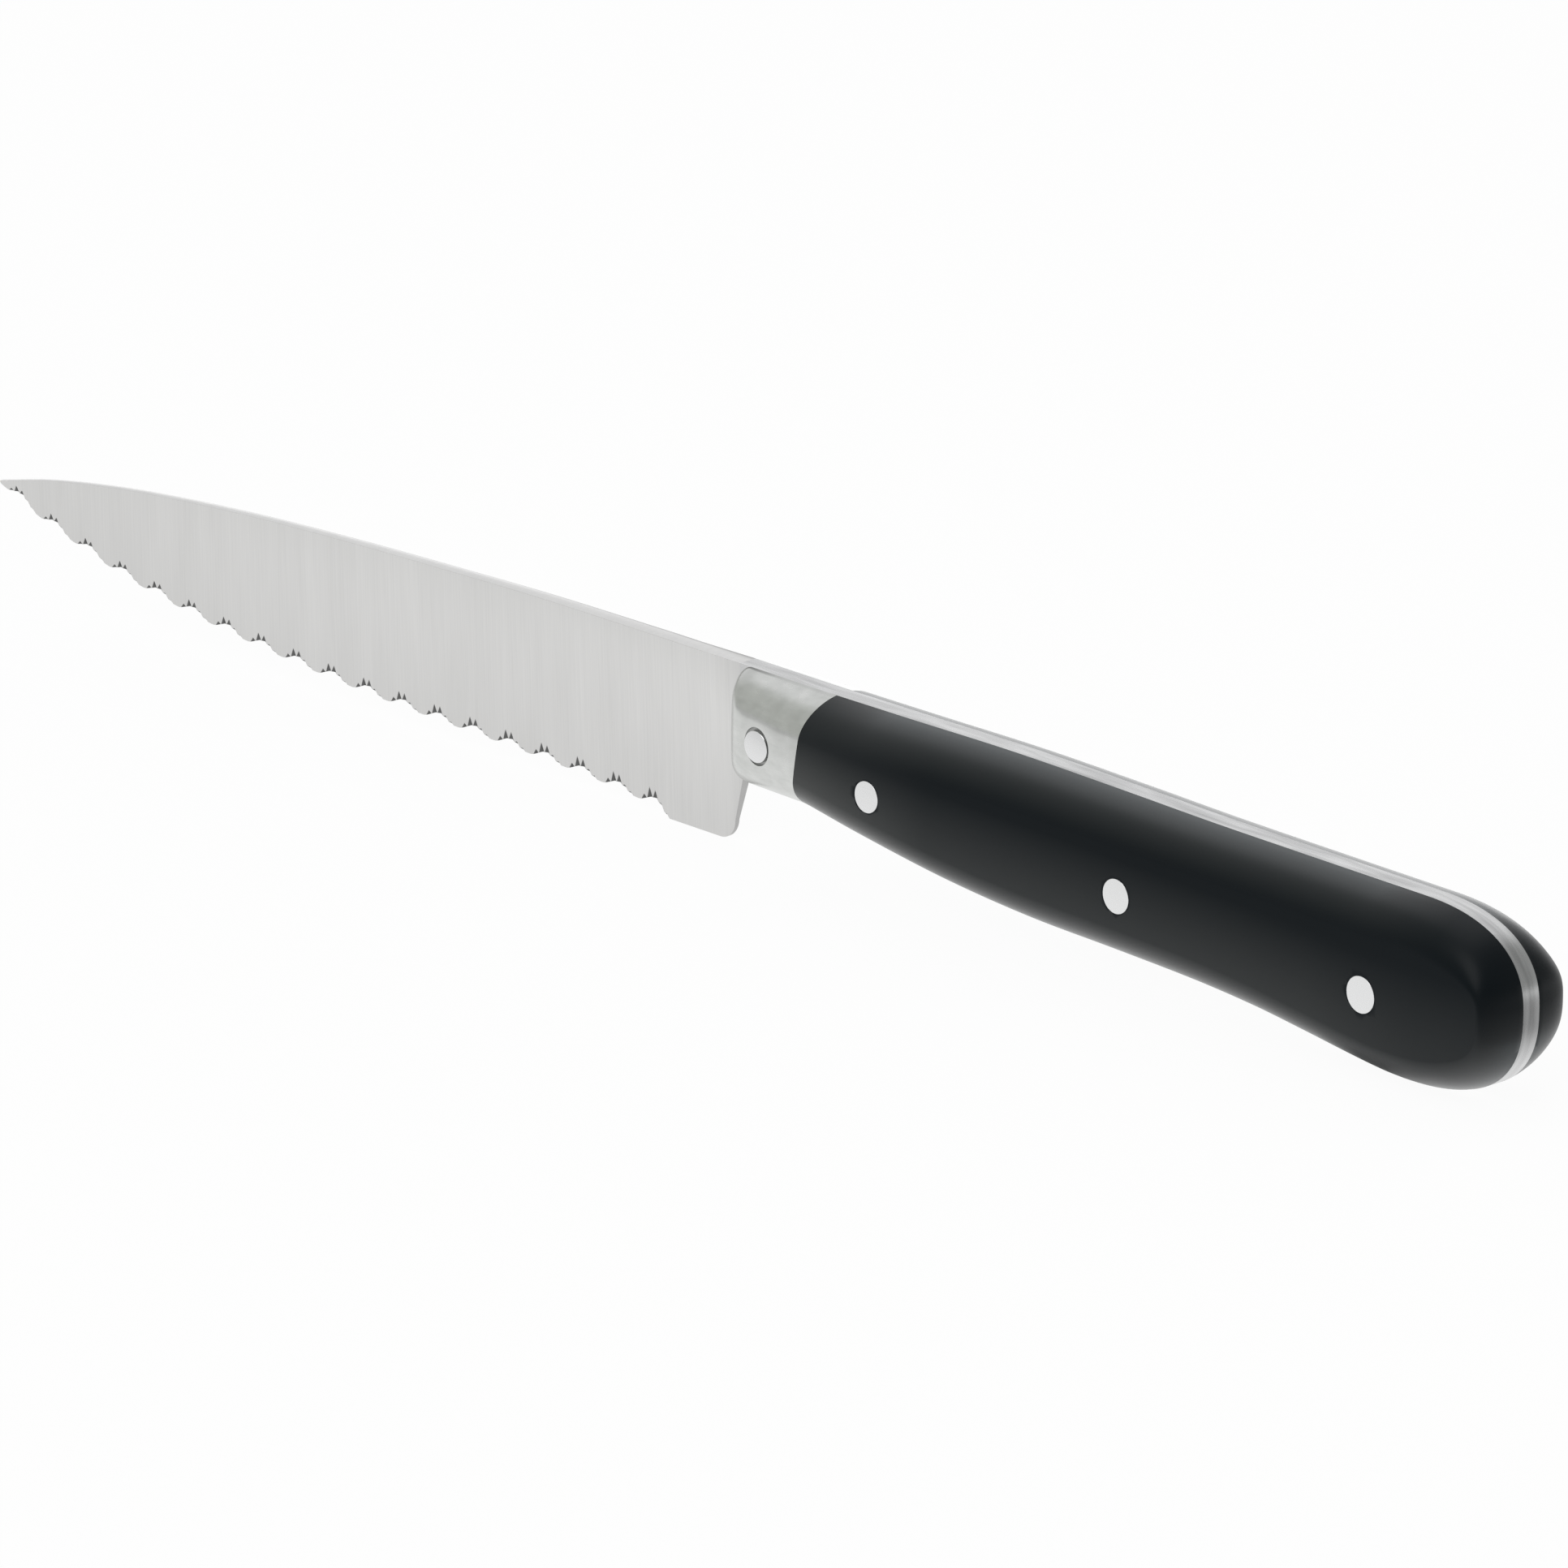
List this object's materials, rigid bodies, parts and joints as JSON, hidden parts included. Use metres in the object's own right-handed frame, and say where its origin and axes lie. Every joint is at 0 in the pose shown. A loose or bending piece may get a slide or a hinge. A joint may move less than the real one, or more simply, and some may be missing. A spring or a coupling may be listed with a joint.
{
  "type": "steak knife",
  "caption": "Full-tang steak knife with a micro-serrated steel blade, riveted steel bolsters and riveted black handle scales.",
  "frame": {"origin": "centre of the knife's bounding box, in the middle plane of the steel", "axes": "+X runs from the tip to the butt, +Y is the thickness towards the far side, +Z runs from the cutting edge up to the spine"},
  "size_m": [0.225, 0.0118, 0.0198],
  "materials": {
    "blade_steel": "fine satin grind across the blade, stainless steel",
    "bolster_steel": "polished to a soft sheen, stainless steel",
    "black_scale": "satin black acetal plastic with lightly polished edges",
    "rivet_metal": "finely sanded flush with the handle"
  },
  "bodies": {
    "root": {"blade": "blade_steel", "near_bolster": "bolster_steel", "far_bolster": "bolster_steel", "near_scale": "black_scale", "far_scale": "black_scale", "bolster_rivet": "rivet_metal", "front_rivet": "rivet_metal", "middle_rivet": "rivet_metal", "rear_rivet": "rivet_metal"}
  },
  "joints": []
}
